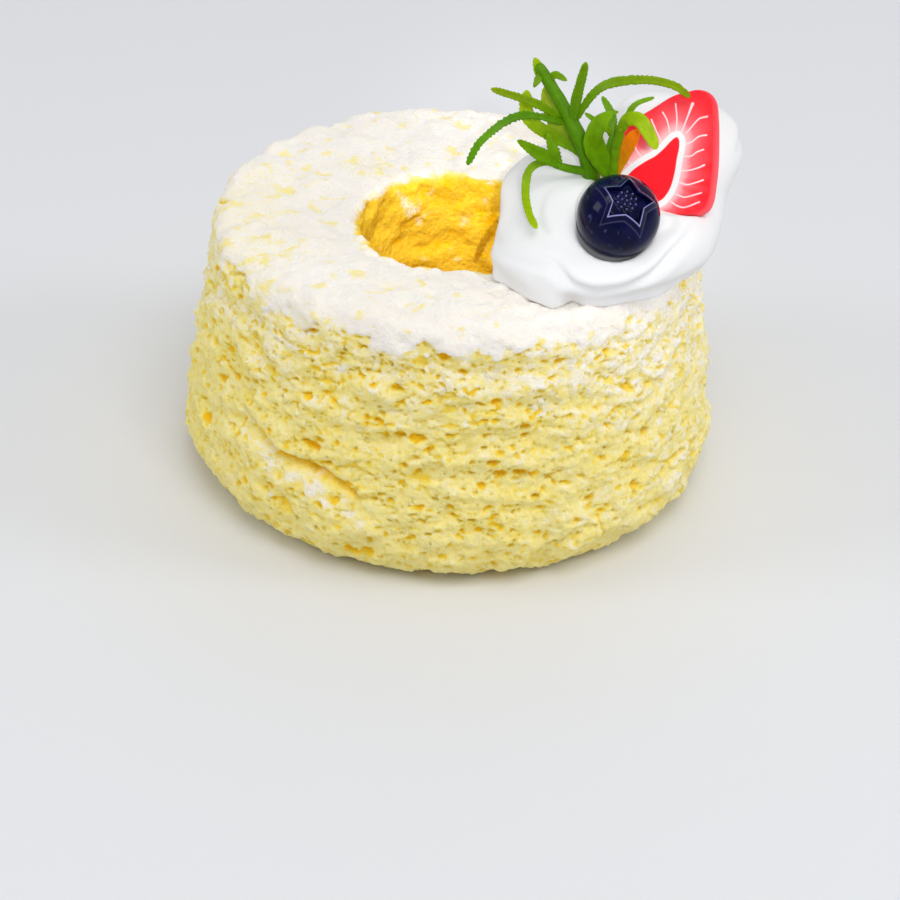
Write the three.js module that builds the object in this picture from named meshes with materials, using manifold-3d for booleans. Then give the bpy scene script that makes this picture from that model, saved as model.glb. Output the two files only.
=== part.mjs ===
// A toy angel food cake: a ring of porous foam clay with a powdered top. A dollop of cream lies on
// its rim and over part of its hole, and carries a moulded blueberry, a strawberry slice and two
// plastic sprigs. Millimetres, +Z up, the origin at the centre of the base.
import * as THREE from 'three';
import { mergeVertices } from 'three/addons/utils/BufferGeometryUtils.js';
import Module from 'manifold-3d';

const wasm = await Module();
wasm.setup();

const { degToRad, lerp, smoothstep } = THREE.MathUtils;
const TURN = 2 * Math.PI;

// ---- Driving dimensions, mm ----

const cake = {
  height: 43.7,
  belly: 42, // radius at the widest place
  bellyHeight: 9.5,
  foot: 34, // outer radius of the flat that it rests on
  topRadius: 37.5, // where the side would meet the top
  shoulder: 3, // rounding of the top edge
};
const hole = { x: 0.8, y: -4, mouth: 15.6, foot: 14.4, rounding: 1.8 };
const crumb = {
  columns: 90, lump: 0.28, shortest: 6, longest: 13, squash: 1.6, waves: 40, waveSeed: 2024,
  pitShare: 0.12, pitDepth: 0.8, pitSeed: 77, // torn pits in the side
  onTop: 0.5, // how much of the lumps the top keeps
  calmFoot: 5, // below this height the lumps fade out towards the base
  calmTop: 2, // and the pits do so this far below the top
  calmRim: 8, // and this far out from the hole
};
// The fold on the left of the front, as angle in degrees and height.
const fold = {
  line: [[-141, 21.5], [-137, 20], [-128, 17.6], [-116, 17], [-108, 14.7], [-102, 15.3]],
  depth: 1, width: 1.4, roll: 0.8, rollDrop: 4, rollWidth: 2.4,
};

const gap = 0.35; // between pieces that touch

// The dollop: three blended lobes, each an ellipsoid that may be shorter behind its centre.
const cream = {
  heart: new THREE.Vector3(25, -9, 50),
  blend: 4,
  lobes: [
    { centre: [23.8, -5.6, 48.5], radii: [17.2, 23.9, 9.4], behind: 17.5 },
    { centre: [31.7, -0.9, 56.3], radii: [11.5, 12, 8.3], behind: 11 },
    { centre: [17.5, -18.6, 46.2], radii: [11.9, 11.8, 6], behind: 11.8 },
  ],
  // The turns of the swirl in front of the berry. A positive rise is a ridge, a negative one a groove.
  turns: [
    { rise: 0.5, width: 1.5, line: [[14.8, -25.8, 51.9], [17.9, -29.2, 49.9], [21.4, -29.9, 49.5],
      [24.9, -29.3, 50], [28.7, -26.9, 51.9], [32, -22.5, 53.4], [34.5, -18.2, 53.9]] },
    { rise: -0.8, width: 1.2, line: [[17.5, -29.8, 48.6], [20.3, -30.2, 48.4], [24.4, -29.9, 48.4],
      [28.2, -28.5, 49.5], [31.5, -26.1, 50.9], [35, -21.3, 52], [36.9, -16.9, 52.6]] },
    { rise: 0.6, width: 1.5, line: [[9.7, -26.7, 47.6], [13.4, -29.2, 47.4], [17.1, -30.4, 46.9],
      [21.6, -30.4, 46.6], [27.4, -29, 47.2], [32.2, -26.7, 48.6], [36.5, -21.3, 50.2]] },
  ],
  turnSteps: 40,
  hollow: { depth: 1.4, halfWidth: 3.5, from: 0.6 }, // round the berry, from this share of its radius
  columns: 44,
  rows: 24,
  farthest: 45, // no point of the dollop is farther from its heart
};

const berry = {
  centre: new THREE.Vector3(23.8, -24, 56.4),
  radius: 6.05,
  calyx: new THREE.Vector3(0.175, -0.596, 0.783), // the way that its star faces
  turn: 8, // of the star, degrees
  tip: 4.1, // from the middle of the star to a tip of its rim
  notch: 2.4,
  recess: 1.5, // of the floor below the ball's pole
  lip: 0.25, // of the rim above the ball
  floor: 0.92, // size of the star's floor, and of its rim's outer edge, in stars
  rim: 1.08,
  skirt: 1.22, // size of the star where its slope meets the ball
  circles: [66, 82, 98, 114, 130, 148, 164, 180], // below the star, degrees from its middle
  columns: 40,
};

const slice = {
  centre: new THREE.Vector3(30.9, -10.7, 60.2), // middle of its front face
  lean: 32, // back from upright, degrees
  tilt: -26.4, // of its tip towards +X, in its own plane
  thickness: 2.7,
  bevel: 0.6,
  // Right half from the tip down, then the left half back up.
  outline: [[0, 11.4], [2.1, 11.2], [3.9, 10.1], [6, 6.8], [8.6, 1], [9.9, -2.2], [9.5, -5],
    [6.5, -7.8], [0, -9.2], [-5.5, -7.9], [-8, -4.7], [-8.4, -1.9], [-7.2, 2.6], [-5.1, 6.1], [-2.3, 10]],
  outlineSteps: 36,
  ledge: 53.3, // height of the cream in front of its foot
  clearFront: 12, // the cream in front of it is cleared this far
};

// The sprigs' stems and leaves. Width is across the leaf at its widest and at its tip.
const leaf = {
  steps: 5, sides: 5, thickness: 0.5,
  widestAt: 0.45, // share of the way along
  foot: 0.65, // width at its foot, in widest widths
  point: 0.3, // how far its last edge is drawn out
};
const sprigs = {
  sprig_left: [
    { width: [2.7, 2.1], round: true, line: [[20, -12.4, 55.2], [19.8, -12.6, 57.7], [18.7, -12.5, 61.3],
      [15.8, -11, 66.3], [12.3, -9, 71.3], [10.9, -8.5, 73.1]] },
    { width: [2.3, 1.6], line: [[12, -8.9, 70.8], [10.5, -8, 73.9]] },
    { width: [1.7, 1.1], line: [[12.6, -9.2, 70.4], [13.7, -9.3, 71.8], [15.5, -10, 71.3]] },
    { width: [1.6, 1.1], line: [[11.7, -9, 72], [10.6, -10.3, 70.1]] },
    { width: [1.7, 1.3], line: [[15.6, -11, 65], [11.1, -13, 68.7], [4.2, -14, 71.3]] },
    { width: [1.6, 1.2], line: [[15.9, -11.2, 65], [8.7, -15, 67.6], [3.4, -17, 64.5], [1.2, -18, 60.6]] },
    { width: [2.4, 2.9], line: [[18.2, -11.8, 60.6], [13.2, -9, 62], [10.1, -6.5, 63.4], [9.7, -5, 67.2]] },
    { width: [3.4, 2], line: [[18.9, -12, 60], [15.2, -8, 61.8], [13.1, -6, 65.3], [12.7, -5.5, 68.6]] },
    { width: [1.8, 1.3], line: [[16.6, -11.4, 64.6], [16.9, -13, 69.6], [17.9, -15, 76.7]] },
    { width: [1.7, 1.3], line: [[16.5, -11.4, 64.8], [20.4, -11, 70.8], [26.3, -9, 71.5],
      [31.2, -8.3, 70.6], [34.1, -8, 68.6]] },
    { width: [1.9, 1.5], round: true, line: [[19.8, -12.9, 57.8], [16.4, -13.5, 58.6], [14.1, -13.7, 59.3]] },
    { width: [1.9, 1], line: [[15.2, -13.6, 59.1], [11.5, -14.5, 61.5], [8.5, -15.2, 63.7]] },
    { width: [1.9, 1], line: [[15, -13.7, 59], [14.1, -13.6, 61.1], [13, -13.1, 64.1]] },
    { width: [1.7, 1.4], line: [[16.8, -13.4, 58.5], [13, -13.6, 59.5], [10.6, -14.6, 58.6],
      [10.1, -17, 56.2], [10.7, -20.5, 54.5], [11.9, -24, 53.7]] },
  ],
  sprig_right: [
    { width: [1.9, 1.4], round: true, line: [[22.9, -14.8, 55], [22.8, -14.8, 57.5], [22.4, -14, 61.4],
      [22.7, -13.5, 64.4]] },
    { width: [3.4, 1.8], line: [[22.6, -15, 58.4], [19.9, -16.3, 64], [20.2, -17, 67.6], [22.1, -17, 69.8]] },
    { width: [1.4, 0.8], line: [[22.4, -13.6, 64.8], [20.6, -14, 66.4], [18.3, -13, 67.6]] },
    { width: [1.2, 0.8], line: [[22.4, -13.4, 64.2], [21, -13.8, 67.4], [23.3, -13, 68.1]] },
    { width: [2.1, 1.3], line: [[22.8, -13.6, 63.8], [22.3, -12, 67], [20.8, -11, 69.5]] },
    { width: [1.6, 1.3], round: true, line: [[23.1, -15, 56], [23, -15, 59.1], [23.1, -15, 62.4],
      [23.8, -16, 67.3]] },
    { width: [2.2, 1.7], line: [[23.6, -15.9, 66.4], [24.5, -17, 68.7], [26.4, -18.2, 69], [28.9, -20, 65.6]] },
    { width: [1.3, 0.8], line: [[23.7, -15.8, 66.8], [25.4, -15.2, 70.2], [28.3, -14.4, 71.3]] },
    { width: [2.6, 1.6], line: [[23, -14.8, 58.6], [23.7, -14.2, 62], [25.1, -14, 65.4]] },
  ],
};
const towardsFront = new THREE.Vector3(0, -0.85, 0.53); // the way that the leaves' faces turn

// ---- Helpers: closed grids, and joining and cutting ----

// A closed solid of a three.js geometry: only positions are kept, and triangles that a pole
// squeezes to a line are dropped.
function solid(geometry) {
  const bare = geometry.clone();
  bare.deleteAttribute('normal');
  bare.deleteAttribute('uv');
  const merged = mergeVertices(bare, 1e-4);
  const index = merged.index.array;
  const corners = [];
  for (let i = 0; i < index.length; i += 3) {
    const [a, b, c] = [index[i], index[i + 1], index[i + 2]];
    if (a !== b && b !== c && c !== a) corners.push(a, b, c);
  }
  return new wasm.Manifold(new wasm.Mesh({
    numProp: 3,
    vertProperties: new Float32Array(merged.attributes.position.array),
    triVerts: new Uint32Array(corners),
  }));
}

function largestPiece(manifold) {
  return manifold.decompose().reduce((best, piece) => (piece.volume() > best.volume() ? piece : best));
}

function toGeometry(manifold) {
  const mesh = manifold.getMesh();
  const geometry = new THREE.BufferGeometry();
  geometry.setAttribute('position', new THREE.BufferAttribute(new Float32Array(mesh.vertProperties), 3));
  geometry.setIndex(new THREE.BufferAttribute(new Uint32Array(mesh.triVerts), 1));
  geometry.computeVertexNormals();
  return geometry;
}

// A grid of quads over pointAt(row, column), closed along its columns. Its rows also close into a
// ring, or run from pole to pole.
function grid(rows, columns, pointAt, ring) {
  const points = [];
  for (let row = 0; row < rows; row++) {
    for (let column = 0; column < columns; column++) points.push(pointAt(row, column));
  }
  const corners = [];
  for (let row = 0; row < (ring ? rows : rows - 1); row++) {
    for (let column = 0; column < columns; column++) {
      const next = (column + 1) % columns;
      const up = (row + 1) % rows;
      const [a, b] = [row * columns + column, row * columns + next];
      const [c, d] = [up * columns + next, up * columns + column];
      corners.push(a, b, c, a, c, d);
    }
  }
  const geometry = new THREE.BufferGeometry().setFromPoints(points);
  geometry.setIndex(corners);
  return geometry;
}

// ---- The ring cake ----

// The same run of chance numbers between 0 and 1 every time.
function chance(seed) {
  let state = seed;
  return () => {
    state = (state * 16807) % 2147483647;
    return state / 2147483647;
  };
}

// Lumps of the crumb: plane waves of many directions and lengths, shorter upwards than sideways.
const waveChance = chance(crumb.waveSeed);
const crumbWaves = Array.from({ length: crumb.waves }, () => {
  const rise = lerp(-1, 1, waveChance());
  const around = TURN * waveChance();
  const length = lerp(crumb.shortest, crumb.longest, waveChance());
  const flat = Math.sqrt(1 - rise * rise);
  const direction = new THREE.Vector3(flat * Math.cos(around), flat * Math.sin(around), crumb.squash * rise);
  return { direction: direction.multiplyScalar(TURN / length), phase: TURN * waveChance() };
});

function lumps(point) {
  const sum = crumbWaves.reduce((total, w) => total + Math.sin(w.direction.dot(point) + w.phase), 0);
  return crumb.lump * sum / Math.sqrt(crumb.waves / 2);
}

// The fold's groove, and the roll of foam under it.
function foldRelief(angle, z) {
  const line = fold.line;
  const first = line[0][0];
  const last = line[line.length - 1][0];
  if (angle <= first || angle >= last) return 0;
  const after = line.findIndex(([degrees]) => degrees >= angle);
  const [[a0, z0], [a1, z1]] = [line[after - 1], line[after]];
  const above = z - lerp(z0, z1, (angle - a0) / (a1 - a0));
  const groove = fold.depth * Math.exp(-((above / fold.width) ** 2));
  const roll = fold.roll * Math.exp(-(((above + fold.rollDrop) / fold.rollWidth) ** 2));
  const ends = Math.sin(Math.PI * (angle - first) / (last - first)) ** 0.5;
  return (roll - groove) * ends;
}

const at = (radius, z) => new THREE.Vector2(radius, z);
const line = (a, b) => new THREE.LineCurve(a, b);
const round = (a, corner, b) => new THREE.QuadraticBezierCurve(a, corner, b);
const top = cake.height;
const shoulderSlope = (cake.belly - cake.topRadius) / (top - cake.bellyHeight);
const shoulderFoot = at(cake.topRadius + shoulderSlope * cake.shoulder, top - cake.shoulder);
const profileStretches = [
  [line(at(hole.foot + hole.rounding, 0), at(cake.foot, 0)), 3],
  [new THREE.EllipseCurve(cake.foot, cake.bellyHeight, cake.belly - cake.foot, cake.bellyHeight,
    -Math.PI / 2, 0), 4],
  [line(at(cake.belly, cake.bellyHeight), shoulderFoot), 12],
  [round(shoulderFoot, at(cake.topRadius, top), at(cake.topRadius - cake.shoulder, top)), 3],
  [line(at(cake.topRadius - cake.shoulder, top), at(hole.mouth + hole.rounding, top)), 7],
  [round(at(hole.mouth + hole.rounding, top), at(hole.mouth, top), at(hole.mouth, top - hole.rounding)), 2],
  [line(at(hole.mouth, top - hole.rounding), at(hole.foot, hole.rounding)), 8],
  [round(at(hole.foot, hole.rounding), at(hole.foot, 0), at(hole.foot + hole.rounding, 0)), 2],
];
const profile = profileStretches.flatMap(([curve, steps]) => curve.getPoints(steps).slice(0, -1));

// The ring, with its surface moved out by swell.
function ringCake(swell) {
  const rows = profile.length;
  const pitChance = chance(crumb.pitSeed);
  return grid(rows, crumb.columns, (row, column) => {
    const here = profile[row];
    const along = profile[(row + 1) % rows].clone().sub(profile[(row + rows - 1) % rows]).normalize();
    const outwards = at(along.y, -along.x);
    const angle = -Math.PI + TURN * column / crumb.columns;
    const spot = new THREE.Vector3(here.x * Math.cos(angle), here.x * Math.sin(angle), here.y);
    const onGround = 1 - smoothstep(here.y, 0, crumb.calmFoot);
    const onTop = smoothstep(here.y, top - crumb.calmTop, top);
    const outside = smoothstep(here.x, hole.mouth + crumb.calmRim, cake.topRadius - crumb.calmTop);
    const pit = pitChance() < crumb.pitShare ? crumb.pitDepth * outside * (1 - onTop) : 0;
    let relief = (lumps(spot) - pit) * (1 - onGround) * lerp(1, crumb.onTop, onTop);
    relief += foldRelief(angle / degToRad(1), here.y) * outside * (1 - onTop);
    const radius = here.x + outwards.x * (relief + swell);
    const towardsHole = 1 - smoothstep(here.x, hole.mouth + hole.rounding, cake.foot);
    return new THREE.Vector3(
      radius * Math.cos(angle) + hole.x * towardsHole,
      radius * Math.sin(angle) + hole.y * towardsHole,
      here.y + outwards.y * (relief + swell),
    );
  }, true);
}

// ---- The blueberry ----

// The distance from a star's middle to its edge, at an angle round it.
function starEdge(angle, tip, notch) {
  const half = Math.PI / 5;
  const turned = ((angle % (2 * half)) + 2 * half) % (2 * half);
  const fromTip = Math.min(turned, 2 * half - turned);
  return tip * notch * Math.sin(half) / (tip * Math.sin(fromTip) + notch * Math.sin(half - fromTip));
}

function blueberry() {
  const R = berry.radius;
  const floor = R - berry.recess;
  const onBall = (radius, rise) => [radius, Math.sqrt(R * R - radius * radius) + rise];
  const starRings = [
    (edge) => [0, floor],
    (edge) => [edge * berry.floor / 2, floor],
    (edge) => [edge * berry.floor, floor],
    (edge) => onBall(edge, berry.lip),
    (edge) => onBall(edge * berry.rim, berry.lip),
    (edge) => onBall(edge * berry.skirt, 0),
  ];
  const lastStar = (edge) => Math.asin(edge * berry.skirt / R);
  const circles = berry.circles.map(degToRad);
  const ballRings = [(edge) => (lastStar(edge) + circles[0]) / 2, ...circles.map((angle) => () => angle)]
    .map((polar) => (edge) => [R * Math.sin(polar(edge)), R * Math.cos(polar(edge))]);
  const rings = [...starRings, ...ballRings];
  return grid(rings.length, berry.columns, (row, column) => {
    const angle = TURN * column / berry.columns;
    const edge = starEdge(angle, berry.tip, berry.notch);
    const [radius, height] = rings[rings.length - 1 - row](edge);
    return new THREE.Vector3(radius * Math.cos(angle), radius * Math.sin(angle), height);
  }, false);
}

// ---- The strawberry slice ----

// The slice's outline, grown outwards by swell, from front to back of its thickness.
function sliceBody(front, back, bevel, swell) {
  const points = slice.outline.map(([x, y]) => {
    const spot = new THREE.Vector2(x, y);
    return spot.setLength(spot.length() + swell - bevel);
  });
  const edge = new THREE.CatmullRomCurve3(points.map((p) => new THREE.Vector3(p.x, p.y, 0)), true);
  const shape = new THREE.Shape(edge.getPoints(slice.outlineSteps).slice(0, -1).map((p) => new THREE.Vector2(p.x, p.y)));
  const geometry = new THREE.ExtrudeGeometry(shape, {
    depth: front - back - 2 * bevel,
    bevelEnabled: bevel > 0,
    bevelThickness: bevel,
    bevelSize: bevel,
    bevelSegments: 2,
  });
  return geometry.translate(0, 0, back + bevel);
}

const slicePlace = new THREE.Matrix4().compose(
  slice.centre,
  new THREE.Quaternion().setFromEuler(new THREE.Euler(degToRad(90 - slice.lean), 0, degToRad(slice.tilt))),
  new THREE.Vector3(1, 1, 1),
);

// ---- The sprigs ----

function leafWidth(widest, tip, t) {
  if (t < leaf.widestAt) return lerp(leaf.foot * widest, widest, t / leaf.widestAt);
  return lerp(widest, tip, (t - leaf.widestAt) / (1 - leaf.widestAt));
}

// One stem or leaf: a tapering strip of oval section, pointed at its end.
function frond({ width: [widest, tip], round: isRound, line: stops }, swell) {
  const curve = new THREE.CatmullRomCurve3(stops.map((p) => new THREE.Vector3(...p)));
  const rows = leaf.steps + 3;
  return grid(rows, leaf.sides, (row, column) => {
    const t = THREE.MathUtils.clamp((row - 1) / leaf.steps, 0, 1);
    const along = curve.getTangentAt(t);
    const across = along.clone().cross(towardsFront).normalize();
    const through = across.clone().cross(along);
    const end = row === 0 || row === rows - 1;
    const width = isRound ? lerp(widest, tip, t) : leafWidth(widest, tip, t);
    const half = end ? 0 : width / 2 + swell;
    const thick = end ? 0 : (isRound ? half : Math.min(half, leaf.thickness + swell));
    const angle = -TURN * column / leaf.sides;
    const endReach = row === 0 ? -swell : row === rows - 1 ? leaf.point + swell : 0;
    return curve.getPointAt(t)
      .addScaledVector(along, endReach)
      .addScaledVector(across, half * Math.cos(angle))
      .addScaledVector(through, thick * Math.sin(angle));
  }, false);
}

function sprig(fronds, swell) {
  return wasm.Manifold.union(fronds.map((one) => solid(frond(one, swell))));
}

// ---- The cream ----

function smoothLeast(a, b, blend) {
  const share = THREE.MathUtils.clamp(0.5 + 0.5 * (b - a) / blend, 0, 1);
  return lerp(b, a, share) - blend * share * (1 - share);
}

// About how far a point lies outside the dollop's lobes.
function creamDistance(point) {
  return cream.lobes.map(({ centre, radii, behind }) => {
    const from = point.clone().sub(new THREE.Vector3(...centre));
    const size = new THREE.Vector3(radii[0], from.y > 0 ? behind : radii[1], radii[2]);
    const scaled = from.divide(size);
    const reach = scaled.length();
    return reach * (reach - 1) / (scaled.clone().divide(size).length() + 1e-9);
  }).reduce((a, b) => smoothLeast(a, b, cream.blend));
}

const turnCurves = cream.turns.map(({ rise, width, line: stops }) => {
  const curve = new THREE.CatmullRomCurve3(stops.map((p) => new THREE.Vector3(...p)));
  return { rise, width, points: curve.getPoints(cream.turnSteps) };
});

function creamRelief(point) {
  const swirl = turnCurves.reduce((sum, { rise, width, points }) => {
    const distances = points.map((p) => p.distanceTo(point));
    const nearest = Math.min(...distances);
    const t = distances.indexOf(nearest) / (points.length - 1);
    const fade = smoothstep(Math.min(t, 1 - t), -0.1, 0.2);
    return sum + rise * fade * Math.exp(-((nearest / width) ** 2));
  }, 0);
  const { depth, halfWidth, from } = cream.hollow;
  const fromBerry = Math.max(0, point.distanceTo(berry.centre) - berry.radius * from);
  return swirl - depth * Math.exp(-((fromBerry / halfWidth) ** 2));
}

function dollop() {
  const ball = new THREE.SphereGeometry(1, cream.columns, cream.rows).rotateX(Math.PI / 2);
  const position = ball.attributes.position;
  for (let i = 0; i < position.count; i++) {
    const direction = new THREE.Vector3().fromBufferAttribute(position, i).normalize();
    let [inside, outside] = [0, cream.farthest];
    while (outside - inside > 1e-5) {
      const middle = (inside + outside) / 2;
      const point = cream.heart.clone().addScaledVector(direction, middle);
      if (creamDistance(point) < 0) inside = middle;
      else outside = middle;
    }
    const point = cream.heart.clone().addScaledVector(direction, inside);
    point.addScaledVector(direction, creamRelief(point));
    position.setXYZ(i, point.x, point.y, point.z);
  }
  return ball;
}

// ---- The pieces in their places ----

const cakeSolid = solid(ringCake(0));
const berryTurn = new THREE.Quaternion()
  .setFromUnitVectors(new THREE.Vector3(0, 0, 1), berry.calyx.clone().normalize())
  .multiply(new THREE.Quaternion().setFromAxisAngle(new THREE.Vector3(0, 0, 1), degToRad(90 - berry.turn)));

const leftSprig = largestPiece(sprig(sprigs.sprig_left, 0));
const leftSprigSwollen = sprig(sprigs.sprig_left, gap);
const rightSprig = largestPiece(sprig(sprigs.sprig_right, 0).subtract(leftSprigSwollen));
const rightSprigSwollen = sprig(sprigs.sprig_right, gap);

const roomSegments = [28, 18];
const wide = 40; // more than the cream is

// The cream is cut clear of all that it touches. In front of the slice it is also cut away down to
// the ledge that hides the slice's foot.
const berryRoom = solid(new THREE.SphereGeometry(berry.radius + gap, ...roomSegments)
  .translate(...berry.centre.toArray()));
const sliceRoom = solid(sliceBody(gap, -slice.thickness - gap, 0, gap).applyMatrix4(slicePlace));
const aboveLedge = solid(new THREE.BoxGeometry(wide, wide, wide)
  .translate(slice.centre.x, slice.centre.y, slice.ledge + wide / 2));
const beforeSlice = solid(sliceBody(slice.clearFront, -slice.bevel / 6, 0, gap).applyMatrix4(slicePlace)).intersect(aboveLedge);
const creamSolid = largestPiece(solid(dollop())
  .subtract(solid(ringCake(gap)))
  .subtract(berryRoom)
  .subtract(sliceRoom)
  .subtract(beforeSlice)
  .subtract(leftSprigSwollen)
  .subtract(rightSprigSwollen));

const finish = (color, roughness) => new THREE.MeshStandardMaterial({ color, roughness, metalness: 0 });
const foamClay = finish(0xf0e48c, 0.95);
const whiteCream = finish(0xf4f4f6, 0.35);
const navyPlastic = finish(0x14183f, 0.18);
const redClay = finish(0xf0303c, 0.4);
const greenPlastic = finish(0x5f9a1c, 0.45);

function named(name, geometry, material) {
  const mesh = new THREE.Mesh(geometry, material);
  mesh.name = name;
  return mesh;
}

const blueberryMesh = named('blueberry', toGeometry(solid(blueberry())), navyPlastic);
blueberryMesh.position.copy(berry.centre);
blueberryMesh.quaternion.copy(berryTurn);

const sliceMesh = named('strawberry_slice',
  toGeometry(solid(sliceBody(0, -slice.thickness, slice.bevel, 0))), redClay);
sliceMesh.position.copy(slice.centre);
sliceMesh.rotation.set(degToRad(90 - slice.lean), 0, degToRad(slice.tilt));

const angelFoodCake = new THREE.Group();
angelFoodCake.add(
  named('cake', toGeometry(cakeSolid), foamClay),
  named('cream', toGeometry(creamSolid), whiteCream),
  blueberryMesh,
  sliceMesh,
  named('sprig_left', toGeometry(leftSprig), greenPlastic),
  named('sprig_right', toGeometry(rightSprig), greenPlastic),
);

export default angelFoodCake;
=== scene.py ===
"""A toy angel food cake: a ring of foam clay with a powdered top, a dollop of cream over its rim, and
on the cream a moulded blueberry, a strawberry slice and two plastic sprigs. Lengths are millimetres
until a finished mesh is brought to metres."""

from math import cos, pi, radians, sin, sqrt

import bmesh
import bpy
import numpy as np
from mathutils import Euler, Matrix, Quaternion, Vector


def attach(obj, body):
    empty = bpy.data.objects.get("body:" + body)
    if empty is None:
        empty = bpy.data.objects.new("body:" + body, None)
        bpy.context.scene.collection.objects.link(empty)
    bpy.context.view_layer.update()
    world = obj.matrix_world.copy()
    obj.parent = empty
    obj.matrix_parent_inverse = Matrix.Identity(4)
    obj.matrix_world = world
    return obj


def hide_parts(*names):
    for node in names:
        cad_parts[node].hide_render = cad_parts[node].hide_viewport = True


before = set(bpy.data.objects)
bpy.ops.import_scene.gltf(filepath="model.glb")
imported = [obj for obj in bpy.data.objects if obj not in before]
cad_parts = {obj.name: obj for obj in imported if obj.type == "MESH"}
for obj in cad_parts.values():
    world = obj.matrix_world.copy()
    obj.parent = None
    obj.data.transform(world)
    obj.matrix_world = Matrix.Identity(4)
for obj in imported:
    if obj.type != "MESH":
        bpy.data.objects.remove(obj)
scene = bpy.context.scene

MM = 0.001


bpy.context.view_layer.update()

# ---- The camera ----
# A long lens half a metre away that looks down at the middle of the base and leans a little.

CAMERA_DISTANCE = 480
CAMERA_DOWN = radians(32)
CAMERA_ROLL = radians(2.59)
PICTURE = 900
FOCAL_LENGTH, SHIFT_X, SHIFT_Y = 2922.5 / PICTURE, 3.98 / PICTURE, -2.68 / PICTURE  # in pictures' widths
SENSOR = 36

camera_data = bpy.data.cameras.new("camera")
camera_data.sensor_width = SENSOR
camera_data.lens = FOCAL_LENGTH * SENSOR
camera_data.shift_x = SHIFT_X
camera_data.shift_y = SHIFT_Y
camera_data.clip_start = 0.01
camera = bpy.data.objects.new("camera", camera_data)
scene.collection.objects.link(camera)
camera_turn = Matrix.Rotation(pi / 2 - CAMERA_DOWN, 4, "X") @ Matrix.Rotation(CAMERA_ROLL, 4, "Z")
camera_place = Vector((0, -cos(CAMERA_DOWN), sin(CAMERA_DOWN))) * CAMERA_DISTANCE * MM
camera.matrix_world = Matrix.Translation(camera_place) @ camera_turn
scene.camera = camera

scene.view_settings.view_transform = "Standard"
scene.view_settings.look = "None"
scene.view_settings.exposure = 0
scene.view_settings.gamma = 1

# ---- The studio ----
# A pale tabletop in a white room, under four soft lights, with one narrow beam into the cake's hole
# and another on its toppings.

TABLE_HALF = 3  # metres


def linear(red, green, blue):
    """The linear colour of an 8-bit screen colour."""
    def channel(value):
        share = value / 255
        return share / 12.92 if share <= 0.04045 else ((share + 0.055) / 1.055) ** 2.4
    return channel(red), channel(green), channel(blue), 1


def new_material(name):
    """A material, a function that adds nodes to it, and one that gives its shader values and links."""
    material = bpy.data.materials.new(name)
    material.use_nodes = True
    tree = material.node_tree

    def give(node, values):
        for socket, value in values.items():
            if isinstance(value, bpy.types.NodeSocket):
                tree.links.new(value, node.inputs[socket])
            else:
                node.inputs[socket].default_value = value

    def add(kind, values, **settings):
        node = tree.nodes.new("ShaderNode" + kind)
        for key, value in settings.items():
            setattr(node, key, value)
        give(node, values)
        return node.outputs

    def surface(values):
        give(tree.nodes["Principled BSDF"], values)

    return material, add, surface


# These add to the material that was made last.
def noise(scale, detail=2, distortion=0):
    """Noise from 0 to 1 that is fixed to the piece."""
    values = {"Vector": add("TexCoord", {})["Object"], "Scale": scale, "Detail": detail,
              "Distortion": distortion}
    return add("TexNoise", values)["Fac"]


def bumps(*layers):
    """Small bumps, each layer as its noise, its strength and its depth in metres."""
    under = {}
    for height, strength, depth in layers:
        values = {"Height": height, "Strength": strength, "Distance": depth}
        under = {"Normal": add("Bump", values | under)["Normal"]}
    return under["Normal"]


def finished(name, mesh, material):
    piece = bpy.data.objects.new(name, mesh)
    scene.collection.objects.link(piece)
    mesh.materials.append(material)
    return piece


table_paint, add, surface = new_material("pale tabletop")
surface({"Base Color": linear(226, 227, 230), "Roughness": 0.7,
         "Normal": bumps((noise(900), 0.05, 0.0002))})

table_mesh = bpy.data.meshes.new("tabletop")
form = bmesh.new()
bmesh.ops.create_grid(form, x_segments=1, y_segments=1, size=TABLE_HALF)
form.to_mesh(table_mesh)
form.free()
tabletop = finished("tabletop", table_mesh, table_paint)

world = bpy.data.worlds.new("white room")
scene.world = world
world.use_nodes = True
room = world.node_tree.nodes["Background"]
room.inputs["Color"].default_value = linear(250, 252, 255)
room.inputs["Strength"].default_value = 0.52


def lamp(name, kind, place, towards, power, colour, **settings):
    light = bpy.data.lights.new(name, kind)
    light.energy = power
    light.color = colour
    for key, value in settings.items():
        setattr(light, key, value)
    holder = bpy.data.objects.new(name, light)
    holder.location = place
    holder.rotation_euler = (Vector(towards) - Vector(place)).to_track_quat("-Z", "Y").to_euler()
    scene.collection.objects.link(holder)


CAKE_MIDDLE = (0, 0, 0.03)
HOLE_TOP = (-0.003, -0.004, 0.044)
TOPPINGS = (0.022, -0.014, 0.06)
lamp("key", "AREA", (0.14, -0.45, 0.86), CAKE_MIDDLE, 3.5, (1, 0.988, 0.972), size=0.5)
lamp("right fill", "AREA", (0.75, -0.1, 0.5), CAKE_MIDDLE, 1.4, (0.99, 0.995, 1), size=0.26)
lamp("left fill", "AREA", (-0.7, -0.15, 0.45), CAKE_MIDDLE, 1.1, (0.95, 0.97, 1), size=0.26)
lamp("back", "AREA", (0.1, 0.7, 0.6), CAKE_MIDDLE, 0.6, (1, 1, 1), size=0.6)
# A narrow beam down into the hole, steep enough to miss the top round it.
lamp("hole light", "SPOT", (-0.04, -0.6, 0.7), HOLE_TOP, 18, (1, 0.97, 0.9),
     spot_size=radians(1.7), spot_blend=0.5, shadow_soft_size=0.002)
lamp("topping light", "SPOT", (0.06, -0.76, 0.45), TOPPINGS, 14.5, (0.95, 0.965, 1),
     spot_size=radians(3.7), spot_blend=0.9, shadow_soft_size=0.018)

# ---- The ring cake ----
# Foam clay, torn to a porous crumb on its side, with white powder pressed on its top and caught on
# the crumb's ledges. It is one ring: the profile is spun round, then its surface is roughened.

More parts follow.
